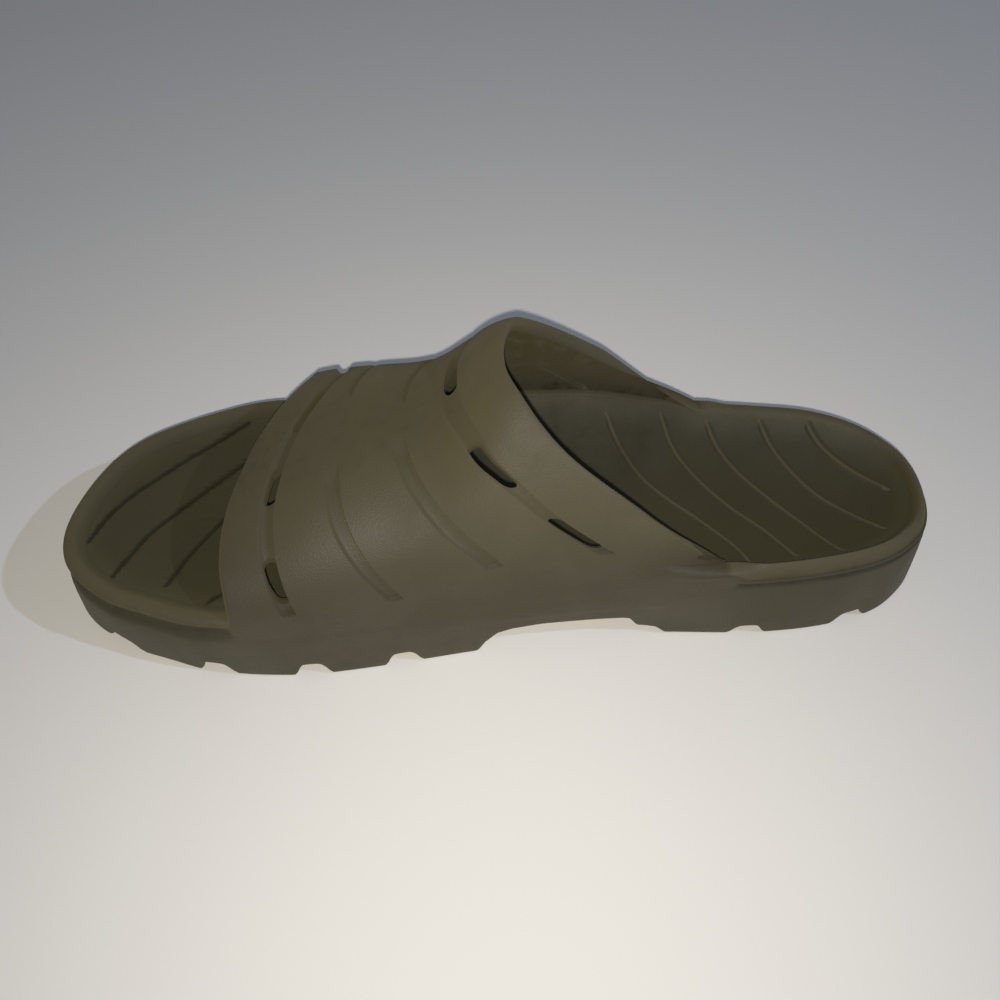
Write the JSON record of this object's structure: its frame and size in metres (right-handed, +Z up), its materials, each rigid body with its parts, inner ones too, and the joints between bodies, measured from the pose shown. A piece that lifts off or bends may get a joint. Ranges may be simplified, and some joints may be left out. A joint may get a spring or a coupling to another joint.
{
  "type": "sport slide sandal",
  "caption": "Foam slide sandal for the right foot, moulded whole: thick notched sole, dished footbed, and a broad arched strap with curved channels and slots.",
  "frame": {"origin": "on the floor under the centre of the shoe's bounding box", "axes": "+X from heel to toe, +Y to the medial side (the big toe's side), +Z up; the sole stands on Z = 0"},
  "size_m": [0.297, 0.1073, 0.0988],
  "materials": {
    "olive_foam": "satin"
  },
  "bodies": {
    "root": {"moulded_slide": "olive_foam"}
  },
  "joints": []
}
